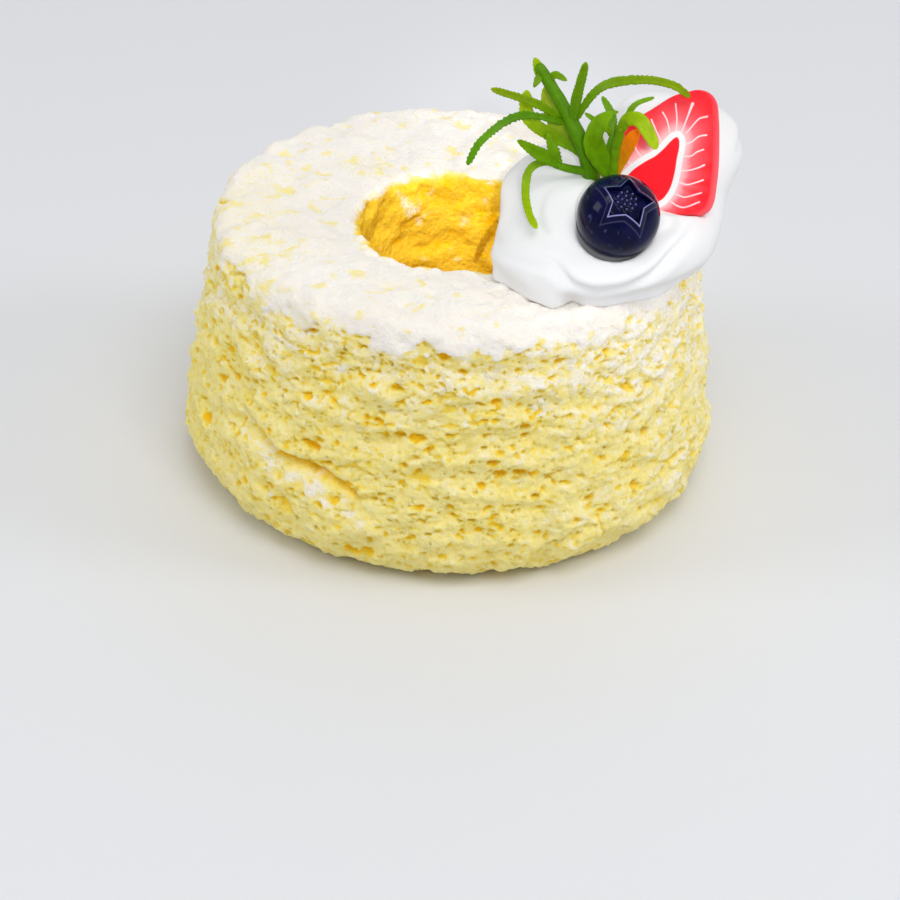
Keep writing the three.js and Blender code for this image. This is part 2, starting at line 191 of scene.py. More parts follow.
CAKE_HEIGHT = 43.7
BELLY = 42  # radius at the widest place
BELLY_HEIGHT = 9.5
FOOT = 34
TOP_RADIUS = 37.5
SHOULDER = 3
HOLE_X, HOLE_Y = 0.8, -4
HOLE_MOUTH = 15.6
HOLE_FOOT = 14.4
HOLE_ROUNDING = 1.8
LUMP, SHORTEST, LONGEST, SQUASH, WAVES = 0.28, 6, 13, 1.6, 40  # the broad waves of its surface
# The fold at the left of the front, as its heights at angles round the cake.
FOLD_LINE = ((-141, 21.5), (-137, 20), (-128, 17.6), (-116, 17), (-108, 14.7), (-102, 15.3))
# The powder's thick cover goes over the shoulder, down to these heights at angles round the cake.
POWDER_EDGE = ((-180, 42), (-162, 41), (-147, 40.2), (-137, 39), (-126, 39.8), (-115, 40.6), (-103, 39.2),
               (-90, 40.4), (-54, 39.4), (-30, 40.6), (-10, 42), (60, 39), (120, 38), (180, 42))
LIT_SIDE_ANGLE, LIT_SIDE_WIDTH = -25, 40  # where the side is painted palest, as painted light from the front-right
COLUMNS = 760
FINEST = 0.33  # spacing of the profile's points
CRUMB_TRIANGLES = 196_000


def lerp(a, b, share):
    return a + (b - a) * share


def smoothstep(value, low, high):
    share = np.clip((value - low) / (high - low), 0, 1)
    return share * share * (3 - 2 * share)


def bell(distance, width):
    return np.exp(-((distance / width) ** 2))


def chance(seed):
    """The same run of chance numbers between 0 and 1 every time."""
    state = seed
    while True:
        state = state * 16807 % 2147483647
        yield state / 2147483647


def cell_chance(cells, seed):
    """A chance number for each whole-numbered cell."""
    c = cells.astype(np.int64)
    n = (c[:, 0] * 73856093) ^ (c[:, 1] * 19349663) ^ (c[:, 2] * 83492791) ^ (seed * 50331653)
    n = n.astype(np.uint32)
    n ^= n >> np.uint32(16)
    n *= np.uint32(0x85EBCA6B)
    n ^= n >> np.uint32(13)
    n *= np.uint32(0xC2B2AE35)
    n ^= n >> np.uint32(16)
    return n / 4294967295


def soft_noise(points, size, seed):
    """Smooth noise from -1 to 1 with lumps about size across."""
    scaled = points / size
    cells = np.floor(scaled)
    t = scaled - cells
    t = t * t * (3 - 2 * t)
    total = np.zeros(len(points))
    for corner in np.ndindex(2, 2, 2):
        share = np.prod(np.where(corner, t, 1 - t), axis=1)
        total += share * cell_chance(cells + corner, seed)
    return 2 * total - 1


def layered_noise(points, *layers):
    """Noises added up, each given as its strength, size and seed."""
    return sum(strength * soft_noise(points, size, seed) for strength, size, seed in layers)


def bend(points, size, reach, seed):
    """The points moved about by up to reach, so that a regular pattern turns ragged."""
    moves = [soft_noise(points, size, seed + axis) for axis in range(3)]
    return points + reach * np.stack(moves, axis=1)


def pits(points, size, seed, share, radii, wall):
    """How deep a point lies in the pits: 0 outside, 1 on a wide pit's floor. A share of the cells,
    each size across, holds a pit with flat, slanting walls, each turned another way."""
    cells = np.floor(points / size)
    deepest = np.zeros(len(points))
    for step in np.ndindex(3, 3, 3):
        cell = cells + np.array(step) - 1
        held = np.flatnonzero(cell_chance(cell, seed) < share)
        cell = cell[held]
        middle = np.stack([cell_chance(cell, seed + 1 + axis) for axis in range(3)], axis=1)
        x, y, z = (points[held] - (cell + 0.15 + 0.7 * middle) * size).T
        radius = lerp(radii[0], radii[1], cell_chance(cell, seed + 4) ** 2)
        turn, lean = 2 * pi * cell_chance(cell, seed + 5), 2 * pi * cell_chance(cell, seed + 6)
        x, y = np.cos(turn) * x + np.sin(turn) * y, np.cos(turn) * y - np.sin(turn) * x
        y, z = np.cos(lean) * y + np.sin(lean) * z, np.cos(lean) * z - np.sin(lean) * y
        x, y, z = np.abs(x), np.abs(y), np.abs(z)
        distance = np.maximum(0.6 * (x + y + z), np.maximum(x, np.maximum(y, z))) / radius
        depth = (1 - smoothstep(distance, 1 - wall, 1)) * radius / radii[1]
        deepest[held] = np.maximum(deepest[held], depth)
    return deepest


def plates(points, size, seed):
    """Heights from -1 to 1 of torn plates: flat within each cell, with steep steps between them."""
    cells = np.floor(points / size)
    near = np.full(len(points), 9.0)
    height = np.zeros(len(points))
    second = np.full(len(points), 9.0)
    other = np.zeros(len(points))
    for step in np.ndindex(3, 3, 3):
        cell = cells + np.array(step) - 1
        middle = np.stack([cell_chance(cell, seed + axis) for axis in range(3)], axis=1)
        gone = points / size - (cell + middle)
        distance = np.sqrt((gone * gone).sum(1))
        level = 2 * cell_chance(cell, seed + 3) - 1
        closer = distance < near
        runner = ~closer & (distance < second)
        second = np.where(closer, near, np.where(runner, distance, second))
        other = np.where(closer, height, np.where(runner, level, other))
        near = np.where(closer, distance, near)
        height = np.where(closer, level, height)
    mixed = smoothstep(second - near, -0.22, 0.22)
    return lerp(other, height, mixed)


wave_chance = chance(2024)
crumb_waves = []
for _ in range(WAVES):
    rise = lerp(-1, 1, next(wave_chance))
    around = 2 * pi * next(wave_chance)
    length = lerp(SHORTEST, LONGEST, next(wave_chance))
    flat = sqrt(1 - rise * rise)
    direction = np.array((flat * cos(around), flat * sin(around), SQUASH * rise)) * 2 * pi / length
    crumb_waves.append((direction, 2 * pi * next(wave_chance)))


def lumps(points):
    total = sum(np.sin(points @ direction + phase) for direction, phase in crumb_waves)
    return LUMP * total / sqrt(WAVES / 2)


def curve_points(start, corner, end, spacing):
    """Points of a rounded corner, without its last."""
    steps = max(2, round((Vector(end) - Vector(start)).length / spacing))
    points = []
    for step in range(steps):
        t = step / steps
        a, b, c = (1 - t) ** 2, 2 * t * (1 - t), t * t
        points.append(tuple(a * p + b * q + c * r for p, q, r in zip(start, corner, end)))
    return points


def straight(start, end, spacing):
    middle = ((start[0] + end[0]) / 2, (start[1] + end[1]) / 2)
    return curve_points(start, middle, end, spacing)


def ring_profile(fine, coarse):
    """The ring's section as (radius, height), from under the hole outwards, up and back down the hole."""
    slope = (BELLY - TOP_RADIUS) / (CAKE_HEIGHT - BELLY_HEIGHT)
    shoulder_foot = (TOP_RADIUS + slope * SHOULDER, CAKE_HEIGHT - SHOULDER)
    shoulder_top = (TOP_RADIUS - SHOULDER, CAKE_HEIGHT)
    mouth_edge = (HOLE_MOUTH + HOLE_ROUNDING, CAKE_HEIGHT)
    mouth_foot = (HOLE_MOUTH, CAKE_HEIGHT - HOLE_ROUNDING)
    hole_foot = (HOLE_FOOT, HOLE_ROUNDING)
    hole_edge = (HOLE_FOOT + HOLE_ROUNDING, 0)
    quarter = round(pi / 2 * (BELLY - FOOT) / fine)
    section = straight(hole_edge, (FOOT, 0), 4 * coarse)
    for step in range(quarter):
        angle = pi / 2 * step / quarter
        section.append((FOOT + (BELLY - FOOT) * sin(angle), BELLY_HEIGHT * (1 - cos(angle))))
    section += straight((BELLY, BELLY_HEIGHT), shoulder_foot, fine)
    section += curve_points(shoulder_foot, (TOP_RADIUS, CAKE_HEIGHT), shoulder_top, fine)
    section += straight(shoulder_top, mouth_edge, coarse)
    section += curve_points(mouth_edge, (HOLE_MOUTH, CAKE_HEIGHT), mouth_foot, fine)
    section += straight(mouth_foot, hole_foot, coarse)
    section += curve_points(hole_foot, (HOLE_FOOT, 0), hole_edge, coarse)
    return section


def with_modifiers(mesh, *modifiers):
    """The mesh after modifiers, each given as its kind and its settings."""
    holder = bpy.data.objects.new("holder", mesh)
    scene.collection.objects.link(holder)
    for kind, settings in modifiers:
        modifier = holder.modifiers.new(kind, kind)
        for key, value in settings.items():
            setattr(modifier, key, value)
    done = bpy.data.meshes.new_from_object(holder.evaluated_get(bpy.context.evaluated_depsgraph_get()))
    bpy.data.objects.remove(holder)
    return done


def spun(section, columns):
    """A closed solid of a section that closes on itself, or that starts and ends on the axis."""
    outline = bmesh.new()
    corners = [outline.verts.new((radius, 0, height)) for radius, height in section]
    for corner, after in zip(corners, corners[1:]):
        outline.edges.new((corner, after))
    if section[0][0] > 0:
        outline.edges.new((corners[-1], corners[0]))
    mesh = bpy.data.meshes.new("outline")
    outline.to_mesh(mesh)
    outline.free()
    mesh = with_modifiers(mesh, ("SCREW", {"steps": columns, "render_steps": columns, "axis": "Z",
                                           "use_merge_vertices": True, "merge_threshold": 1e-4}))
    body = bmesh.new()
    body.from_mesh(mesh)
    bmesh.ops.recalc_face_normals(body, faces=body.faces)
    body.to_mesh(mesh)
    body.free()
    return mesh


def towards_hole(points, radius):
    """The points shifted with the hole, which is off the cake's middle."""
    share = 1 - smoothstep(radius, HOLE_MOUTH + HOLE_ROUNDING, FOOT)
    shifted = points.copy()
    shifted[:, 0] += HOLE_X * share
    shifted[:, 1] += HOLE_Y * share
    return shifted


def fold_place(angle, height):
    """How much of the fold there is at an angle, from 0 at its ends to 1, and the height above it."""
    line_angles, line_heights = zip(*FOLD_LINE)
    along = np.clip((angle - line_angles[0]) / (line_angles[-1] - line_angles[0]), 0, 1)
    return np.sin(pi * along) ** 0.5, height - np.interp(angle, line_angles, line_heights)


def fold_relief(along, above):
    """The fold at the left of the front: a lip that hangs over a crease, and a roll of foam under it."""
    lip = 0.5 * bell(above - 1.6, 1)
    crease = 0.6 * bell(above, 1.5) + 1.2 * bell(above - 0.1, 0.45)
    roll = 0.9 * bell(above + 3.6, 2.6)
    return (lip + roll - crease) * along


def mesh_numbers(mesh, attribute="co"):
    numbers = np.zeros(len(mesh.vertices) * 3)
    mesh.vertices.foreach_get(attribute, numbers)
    return numbers.reshape(-1, 3)


def set_points(mesh, points):
    mesh.vertices.foreach_set("co", points.ravel())
    mesh.update()


def paint(mesh, name, values):
    layer = mesh.attributes.new(name, "FLOAT", "POINT")
    layer.data.foreach_set("value", np.asarray(values, dtype=np.float32))


crumb_mesh = spun(ring_profile(FINEST, FINEST * 1.7), COLUMNS)

spots = mesh_numbers(crumb_mesh)
outwards = mesh_numbers(crumb_mesh, "normal")
radius = np.hypot(spots[:, 0], spots[:, 1])
height = spots[:, 2]
angle = np.degrees(np.arctan2(spots[:, 1], spots[:, 0]))

off_ground = smoothstep(height, 0, 5)
clear_of_table = smoothstep(height, 0.2, 1.6)
on_top = smoothstep(height, CAKE_HEIGHT - 2, CAKE_HEIGHT)
outside = smoothstep(radius, HOLE_MOUTH + 8, TOP_RADIUS - 2)
in_hole = 1 - smoothstep(radius, HOLE_MOUTH + 0.3, HOLE_MOUTH + 1.6)

ragged = layered_noise(spots, (1.3, 4.5, 11), (1.5, 1.7, 12), (0.8, 0.8, 13))
edge = np.interp(angle, *zip(*POWDER_EDGE)) + ragged
clear_of_hole = smoothstep(radius + 0.5 * ragged, HOLE_MOUTH + 0.3, HOLE_MOUTH + 1.9)
cover = smoothstep(height, edge - 0.5, edge + 1) * clear_of_hole

open_foam = np.flatnonzero((cover < 0.97) & (height > 0.2))  # the only points that can show pits
flattened = (spots * (1, 1, 1.7))[open_foam]
torn = bend(bend(flattened, 2.4, 0.8, 21), 0.8, 0.25, 25)
along_fold, above_fold = fold_place(angle, height)
calm = 1 - 0.6 * along_fold * bell(above_fold + 2.6, 2)  # the roll under the fold is smoother
# Below that roll the foam has balled up.
clots = smoothstep(soft_noise(spots, 2.5, 105), 0, 0.5) * bell(above_fold + 6.5, 3) * along_fold * outside
big = pits(torn, size=3.1, seed=31, share=0.65, radii=(0.55, 1.25), wall=0.4)
middle_sized = pits(torn, size=1.8, seed=41, share=0.8, radii=(0.4, 0.8), wall=0.45)
small = pits(bend(flattened, 0.9, 0.3, 51), size=1.1, seed=61, share=0.85, radii=(0.26, 0.5), wall=0.6)
slits = 1 - smoothstep(np.abs(soft_noise(torn * (1, 1, 2.4), 4.5, 71)), 0.02, 0.1)
slits *= smoothstep(soft_noise(torn, 5, 72), 0.05, 0.35)
depth = np.zeros(len(spots))
depth[open_foam] = np.maximum.reduce((big, 0.62 * middle_sized, 0.38 * small, 0.32 * slits))
depth *= calm * (1 - 0.75 * in_hole)
rough = np.zeros(len(spots))
rough[open_foam] = (0.3 * plates(bend(flattened, 2.2, 0.9, 81), 3.2, 83)
                    + 0.2 * plates(bend(flattened, 1.1, 0.4, 87), 1.5, 91)
                    + 0.2 * soft_noise(torn, 1.1, 95) + 0.14 * soft_noise(torn, 0.6, 96))
crumbs = np.zeros(len(spots))
crumbs[open_foam] = pits(bend(flattened, 0.9, 0.3, 131), size=1.7, seed=133, share=0.5, radii=(0.35, 0.7),
                         wall=0.6)
crumbs *= calm
bulges = 0.26 * soft_noise(spots * (1, 1, 1.3), 4.4, 97) + 0.2 * soft_noise(spots, 2.1, 98)
soft_top = layered_noise(spots, (0.42, 3.4, 99), (0.38, 1.7, 100), (0.26, 0.9, 101))

relief = lumps(spots) * off_ground * (1 - 0.5 * on_top) * (1 - 0.5 * in_hole)
relief += fold_relief(along_fold, above_fold) * outside * (1 - on_top)
torn_relief = (rough + 0.4 * crumbs - depth) * (1 - 0.95 * cover) * (1 - 0.35 * in_hole)
relief += clear_of_table * (torn_relief + bulges * in_hole + 0.5 * clots)
relief += cover * (0.25 + soft_top)
rim = bell(radius - HOLE_MOUTH - 0.6, 2) * smoothstep(height, CAKE_HEIGHT - 6, CAKE_HEIGHT - 1)
relief += layered_noise(spots, (0.55, 4.2, 102), (0.35, 1.9, 103)) * rim

points = spots + outwards * relief[:, None]
points[:, 2] = np.maximum(points[:, 2], 0)
set_points(crumb_mesh, towards_hole(points, radius))

# The clay is painted a deeper yellow in its pits, in the fold's crease and where its plates lie low, as
# painted shade and bounced light, and paler at the right of the front, as painted light.
crease = along_fold * bell(above_fold - 0.1, 0.55) * outside
lit_side = bell(angle - LIT_SIDE_ANGLE, LIT_SIDE_WIDTH)
pit = np.clip(depth / 0.6 - rough * 0.4 + 0.6 * crease, 0, 1) * (1 - cover) * (1 - 0.55 * lit_side)
# Powder is caught on what faces up, on crumbs and on clots, and more of it higher up.
facing_up = mesh_numbers(crumb_mesh, "normal")[:, 2]
lumpy = soft_noise(spots * (1, 1, 1.4), 1.4, 122) + 0.6 * soft_noise(spots, 0.7, 123)
roll = along_fold * bell(above_fold + 2.6, 2.2)
clumps = 0.24 + 0.2 * roll + 0.25 * clots
thick = -0.05 + 0.35 * smoothstep(height, 18, 39) + 0.32 * roll
# Painted light: more powder at the right of the front, to pale it.
thick += 0.3 * clots + 0.3 * lit_side + 0.3 * crumbs
caught = thick + clumps * lumpy + 0.25 * facing_up + 0.3 * rough
caught *= (1 - smoothstep(depth, 0.04, 0.3)) * (1 - in_hole) * clear_of_table
flecks = in_hole * smoothstep(bulges + 0.15 * lumpy + 0.2 * facing_up, 0.12, 0.42) * 0.6
thin = smoothstep(soft_noise(spots, 8, 121) - spots[:, 0] / 60, -0.1, 0.9)
powder = np.maximum.reduce((cover * (1.4 - 0.75 * thin), np.clip(caught, 0, 1), flecks))
# The points carry the pits' painted shade, their powder, and how far they lie in the hole.
paint(crumb_mesh, "pit", pit)
paint(crumb_mesh, "powder", powder)
paint(crumb_mesh, "inside", in_hole * (1 - cover))


def triangle_count(mesh):
    return sum(len(face.vertices) - 2 for face in mesh.polygons)


kept_share = CRUMB_TRIANGLES / triangle_count(crumb_mesh)
crumb_mesh = with_modifiers(crumb_mesh, ("DECIMATE", {"ratio": kept_share}))
crumb_mesh.transform(Matrix.Scale(MM, 4))
crumb_mesh.shade_smooth()

foam, add, surface = new_material("foam clay")


def painted(name, output="Fac"):
    """The numbers, or the colours, that are painted on the piece's points under that name."""
    return add("Attribute", {}, attribute_name=name)[output]


def ramp(factor, *stops):
    """Colours along a factor, each as its place and its linear colour."""
    outputs = add("ValToRGB", {"Fac": factor})
    elements = outputs["Color"].node.color_ramp.elements
    elements[0].position, elements[0].color = stops[0]
    elements[1].position, elements[1].color = stops[-1]
    for place, colour in stops[1:-1]:
        elements.new(place).color = colour
    return outputs["Color"]


def ranged(value, low, high, start, end, interpolation="LINEAR"):
    """A number that goes from start to end as the value goes from low to high."""
    values = {"Value": value, "From Min": low, "From Max": high, "To Min": start, "To Max": end}
    return add("MapRange", values, interpolation_type=interpolation)["Result"]


def sums(operation, *numbers):
    return add("Math", dict(enumerate(numbers)), operation=operation)[0]


def varied(number, by, share):
    """The number, moved by a share of how far a noise is from its middle."""
    return sums("MULTIPLY_ADD", sums("SUBTRACT", by, 0.5), share, number)


def mix(factor, a, b):
    return add("Mix", {"Factor": factor, 6: a, 7: b}, data_type="RGBA")[2]


fine, broad, grains = noise(1400, detail=3), noise(130), noise(3200)
# The painted shade of the pits and the crease turns the clay from pale lemon to a deep golden yellow; two
# noises vary it at random.
deep = varied(varied(painted("pit"), fine, 0.6), broad, 0.25)
side_colour = ramp(deep, (0.0, linear(251, 234, 154)), (0.3, linear(251, 226, 110)),
                   (0.6, linear(253, 214, 66)), (1.0, linear(255, 202, 32)))
# The hole's wall is painted a deeper, more orange yellow, for the yellow light bounced about inside the
# hole.
hole_colour = ramp(deep, (0.0, linear(255, 214, 60)), (0.3, linear(255, 204, 14)),
                   (1.0, linear(255, 190, 0)))
clay_colour = mix(painted("inside"), side_colour, hole_colour)
# The powder is rubbed thin in patches, and its grains show where there is little of it.
patches = noise(380, detail=1, distortion=0.3)
kept = sums("MULTIPLY", painted("powder"), ranged(patches, 0.52, 0.72, 1, 0.25))
dust = sums("MULTIPLY", kept, sums("MULTIPLY_ADD", grains, 2.4, -0.2))
dusted = ranged(dust, 0.08, 0.8, 0, 1, "SMOOTHSTEP")
powder_colour = ramp(broad, (0.3, linear(248, 240, 230)), (0.7, linear(250, 244, 236)))
surface({"Base Color": mix(dusted, clay_colour, powder_colour), "Roughness": 0.95,
         "Specular IOR Level": 0.15, "Subsurface Weight": 0.25, "Subsurface Radius": (1, 0.75, 0.3),
         "Subsurface Scale": 0.0012, "Normal": bumps((fine, 0.65, 0.0005), (grains, 0.5, 0.0002))})

crumb = finished("crumb", crumb_mesh, foam)
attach(crumb, "root")
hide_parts("cake")

# ---- The cream ----
# A dollop of satin white clay, piped in a swirl over the rim and part of the hole. It is three
# blended lobes with the swirl's turns pressed round them, cut to fit what it carries and softened.

CREAM_HEART = np.array((25, -9, 50))
CREAM_BLEND = 4
CREAM_LOBES = (
    {"centre": (23.8, -5.6, 48.5), "radii": (17.2, 23.9, 9.4), "behind": 17.5},
    {"centre": (31.7, -0.9, 56.3), "radii": (11.5, 12, 8.3), "behind": 11},
    {"centre": (17.5, -18.6, 46.2), "radii": (11.9, 11.8, 6), "behind": 11.8},
)
# The swirl's turns: the crest's height, the depth and width of the crease at the crest's outer side,
# the middle that the turn winds round, and the crease's line.
BERRY_CENTRE = Vector((23.8, -24, 56.4))
SWIRL_TOP = (30, -2, 72)
CREAM_TURNS = (
    (1.05, 0.8, 0.7, BERRY_CENTRE, (
        (14.4, -27.6, 50.4), (15.7, -29, 49.2), (17.8, -30.3, 48), (20.8, -30.4, 47.2),
        (23, -30.2, 47.4), (25.2, -29.7, 47.7), (28.1, -28.7, 48.8), (30.3, -27.2, 50.1),
        (32, -25.3, 51.3), (34.8, -20.7, 52.6), (37, -15.2, 53.2))),
    (0.75, 0.45, 0.7, (6, -36, 42), (
        (4.9, -17, 48), (6.7, -20.1, 48.6), (9.4, -24, 49.7), (11.8, -26.1, 50.1),
        (14.5, -27.8, 50), (16.8, -29.2, 49))),
    (0.25, 0.5, 0.45, BERRY_CENTRE, (
        (31.2, -18, 55.2), (31.8, -19.6, 54.7), (31.9, -21.2, 54), (31.1, -22.7, 53.6),
        (29.6, -24.4, 53.2))),
    (0.5, 0.8, 0.9, SWIRL_TOP, (
        (41.9, -2.8, 52.2), (41.4, 1.6, 52), (39.3, 5.4, 52),
        (36, 8.2, 52.2), (31.7, 9.8, 52.6), (26.5, 10.1, 53.2), (20.6, 8.3, 54), (15.1, 3.4, 55))),
    (0.45, 0.7, 0.9, SWIRL_TOP, (
        (41.9, -5.7, 58.2), (42.8, -1, 58.4), (41.1, 4.4, 58.8), (36.9, 8.1, 59.3), (31.7, 9, 59.9),
        (26.9, 7.4, 60.5), (23.7, 3.6, 61.2), (23.2, -1, 61.9))),
    (0.4, 0.6, 0.9, SWIRL_TOP, (
        (41, -5, 48), (39.3, 2.2, 47.6), (34.7, 7.8, 47.4), (28.3, 11.2, 47.4),
        (21.1, 11.6, 47.6), (14.3, 8.9, 47.8), (9.2, 3.6, 48), (6.7, -3.5, 48.4), (6.7, -11.3, 49))),
)
# The foot's edge on the cake's top, as reaches at angles round an upright axis: a corner on the left,
# and two scallops with the edge drawn in between them.
FOOT_X, FOOT_Y = 20, -8
FOOT_EDGE = ((-150, 17.2), (-141, 18.2), (-134, 20.4), (-128, 20.2), (-121, 20.9), (-114, 22), (-108, 22.6),
             (-103, 23.3), (-100, 22.1), (-97, 20.1), (-91, 21.5), (-82, 21.2), (-71, 20.2), (-60, 20.4),
             (-50, 19.5), (-39, 18.6), (-32, 18.4))
FOOT_START, FOOT_END = (-150, -140), (-44, -34)  # between these angles the edge comes in and goes out
FOOT_CURL = 0.4  # how far the underside draws in below the edge
FOOT_TOP, FOOT_FADE = 44.4, 47.6
HOLLOW_DEPTH, HOLLOW_WIDTH = 1.9, 3  # in the cream below the berry
CREAM_COLUMNS, CREAM_ROWS = 300, 170
CREAM_FARTHEST, HALVINGS = 45.0, 24  # for finding the lobes' surface
CREAM_VOXEL = 0.36
SEAT_GAP = 0.05
BERRY_RADIUS = 6.15
BERRY_GAP = Vector((-0.55, -0.6, -0.45))  # the way that its seat is too large
SLICE_CENTRE = Vector((30.9, -10.7, 60.2))  # middle of its front face
SLICE_LEAN = radians(32)  # back from upright
SLICE_TILT = radians(-26.4)  # of its tip towards +X, in its own plane
SLICE_THICKNESS = 2.7
SLICE_OUTLINE = ((0.6, 10.2), (2, 10.8), (3.6, 10.7), (4.9, 9.7), (5.9, 7.5), (6.7, 5.2), (7.9, 1.1),
                 (8.6, -2.4), (8.9, -5.1), (8.3, -6.8), (6.2, -7.9), (0, -9.2), (-5.5, -8.3), (-8.6, -5.4),
                 (-9.6, -2.6), (-8.8, 0.7), (-6.6, 3.9), (-4.2, 6.4), (-1.7, 8.9))
SLICE_LEDGE = 53.5  # height of the cream in front of its foot


def smooth_line(stops, count, closed=False):
    """Points of a smooth line through the stops, evenly spread between them."""
    stops = np.array(stops, dtype=float)
    if closed:
        padded = np.concatenate((stops[-1:], stops, stops[:2]))
    else:
        padded = np.concatenate((2 * stops[:1] - stops[1:2], stops, 2 * stops[-1:] - stops[-2:-1]))
    spans = len(padded) - 3
    at = np.linspace(0, spans, count, endpoint=not closed)
    span = np.minimum(at.astype(int), spans - 1)
    t = (at - span)[:, None]
    a, b, c, d = (padded[span + k] for k in range(4))
    curve = 2 * b + (c - a) * t + (2 * a - 5 * b + 4 * c - d) * t ** 2 + (3 * b - a - 3 * c + d) * t ** 3
    return 0.5 * curve


def smooth_least(a, b, blend):
    """The lesser of a and b, with a rounded change from one to the other."""
    share = np.clip(0.5 + 0.5 * (b - a) / blend, 0, 1)
    return lerp(b, a, share) - blend * share * (1 - share)


def cream_distance(points):
    """About how far points lie outside the dollop's lobes."""
    least = None
    for lobe in CREAM_LOBES:
        gone = points - lobe["centre"]
        sizes = np.tile(np.array(lobe["radii"], dtype=float), (len(points), 1))
        sizes[gone[:, 1] > 0, 1] = lobe["behind"]
        scaled = gone / sizes
        reach = np.linalg.norm(scaled, axis=1)
        distance = reach * (reach - 1) / (np.linalg.norm(scaled / sizes, axis=1) + 1e-9)
        least = distance if least is None else smooth_least(least, distance, CREAM_BLEND)
    return least


def cream_relief(points):
    """How far the swirl's crests and creases and the hollow below the berry move the cream's surface."""
    relief = layered_noise(points, (0.18, 6, 131), (0.07, 2.4, 132))
    for crest, crease, width, middle, stops in CREAM_TURNS:
        turn = smooth_line(stops, 80)
        distances = np.stack([np.linalg.norm(points - stop, axis=1) for stop in turn])
        nearest = distances.argmin(0)
        along = nearest / (len(turn) - 1)
        fade = smoothstep(along, -0.05, 0.2) * (1 - smoothstep(along, 0.75, 1.05))
        middle = np.array(middle)
        line_reach = np.linalg.norm(turn - middle, axis=1)[nearest]
        reach = np.linalg.norm(points - middle, axis=1)
        inwards = distances.min(0) * np.sign(line_reach - reach)
        # The crest, the crease, and a lower crest beyond it.
        relief += fade * (crest * bell(inwards - 2.4 * width, 1.9 * width) - crease * bell(inwards, width)
                          + 0.35 * crest * bell(inwards + 2.2 * width, 1.3 * width))
    below_berry = smoothstep(-points[:, 1], 17, 23)
    from_berry = np.linalg.norm(points - np.array(BERRY_CENTRE), axis=1) - BERRY_RADIUS * 0.6
    return relief - HOLLOW_DEPTH * below_berry * bell(np.maximum(from_berry, 0), HOLLOW_WIDTH)


def with_foot(points):
    """The cream's points with its lowest part brought to the foot's edge."""
    x, y = points[:, 0] - FOOT_X, points[:, 1] - FOOT_Y
    angle, reach = np.degrees(np.arctan2(y, x)), np.hypot(x, y)
    wanted = np.interp(angle, *zip(*FOOT_EDGE))
    wanted *= 1 - FOOT_CURL * smoothstep(FOOT_TOP - points[:, 2], 0.2, 4)
    share = (1 - smoothstep(points[:, 2], FOOT_TOP, FOOT_FADE)) * smoothstep(reach / wanted, 0.6, 0.85)
    share *= smoothstep(angle, *FOOT_START) * (1 - smoothstep(angle, *FOOT_END))
    scale = lerp(1, wanted / reach, share)
    return np.stack((FOOT_X + x * scale, FOOT_Y + y * scale, points[:, 2]), axis=1)


def ball(columns, rows):
    """A closed ball's mesh, with the share of the way from pole to pole and the angle of each point."""
    form = bmesh.new()
    bmesh.ops.create_uvsphere(form, u_segments=columns, v_segments=rows, radius=1)
    mesh = bpy.data.meshes.new("ball")
    form.to_mesh(mesh)
    form.free()
    spots = mesh_numbers(mesh)
    return mesh, np.arccos(np.clip(spots[:, 2], -1, 1)) / pi, np.arctan2(spots[:, 1], spots[:, 0])


def cutter(name, mesh):
    piece = bpy.data.objects.new(name, mesh)
    scene.collection.objects.link(piece)
    return piece


def slice_outline(angle):
    """The distance from the slice's middle to its edge, at an angle round it."""
    outline = smooth_line(SLICE_OUTLINE, 240, closed=True)
    angles = np.arctan2(outline[:, 1], outline[:, 0])
    order = np.argsort(angles)
    return np.interp(angle, angles[order], np.hypot(outline[:, 0], outline[:, 1])[order], period=2 * pi)


slice_place = (Matrix.Translation(SLICE_CENTRE)
               @ Euler((pi / 2 - SLICE_LEAN, 0, SLICE_TILT)).to_matrix().to_4x4())


def slice_room(front, back, grown, lowest):
    """A plain solid of the slice's outline, from front to back of its face, down to a height."""
    form = bmesh.new()
    bmesh.ops.create_cone(form, cap_ends=True, segments=90, radius1=1, radius2=1, depth=1)
    for corner in form.verts:
        angle = np.arctan2(corner.co.y, corner.co.x)
        edge = float(slice_outline(angle)) + grown
        corner.co = Vector((edge * cos(angle), edge * sin(angle), front if corner.co.z > 0 else back))
    bmesh.ops.transform(form, matrix=slice_place, verts=form.verts)
    cut = bmesh.ops.bisect_plane(form, geom=form.verts[:] + form.edges[:] + form.faces[:],
                                 plane_co=(0, 0, lowest), plane_no=(0, 0, 1), clear_inner=True)
    rim = [part for part in cut["geom_cut"] if isinstance(part, bmesh.types.BMEdge)]
    if rim:
        bmesh.ops.edgeloop_fill(form, edges=rim)
    bmesh.ops.recalc_face_normals(form, faces=form.faces)
    mesh = bpy.data.meshes.new("room")
    form.to_mesh(mesh)
    form.free()
    return mesh


cream_mesh, _, _ = ball(CREAM_COLUMNS, CREAM_ROWS)
directions = mesh_numbers(cream_mesh)
within = np.zeros(len(directions))
beyond = np.full(len(directions), CREAM_FARTHEST)
for _ in range(HALVINGS):
    halfway = (within + beyond) / 2
    in_cream = cream_distance(CREAM_HEART + directions * halfway[:, None]) < 0
    within = np.where(in_cream, halfway, within)
    beyond = np.where(in_cream, beyond, halfway)
points = CREAM_HEART + directions * within[:, None]
set_points(cream_mesh, with_foot(points + directions * cream_relief(points)[:, None]))

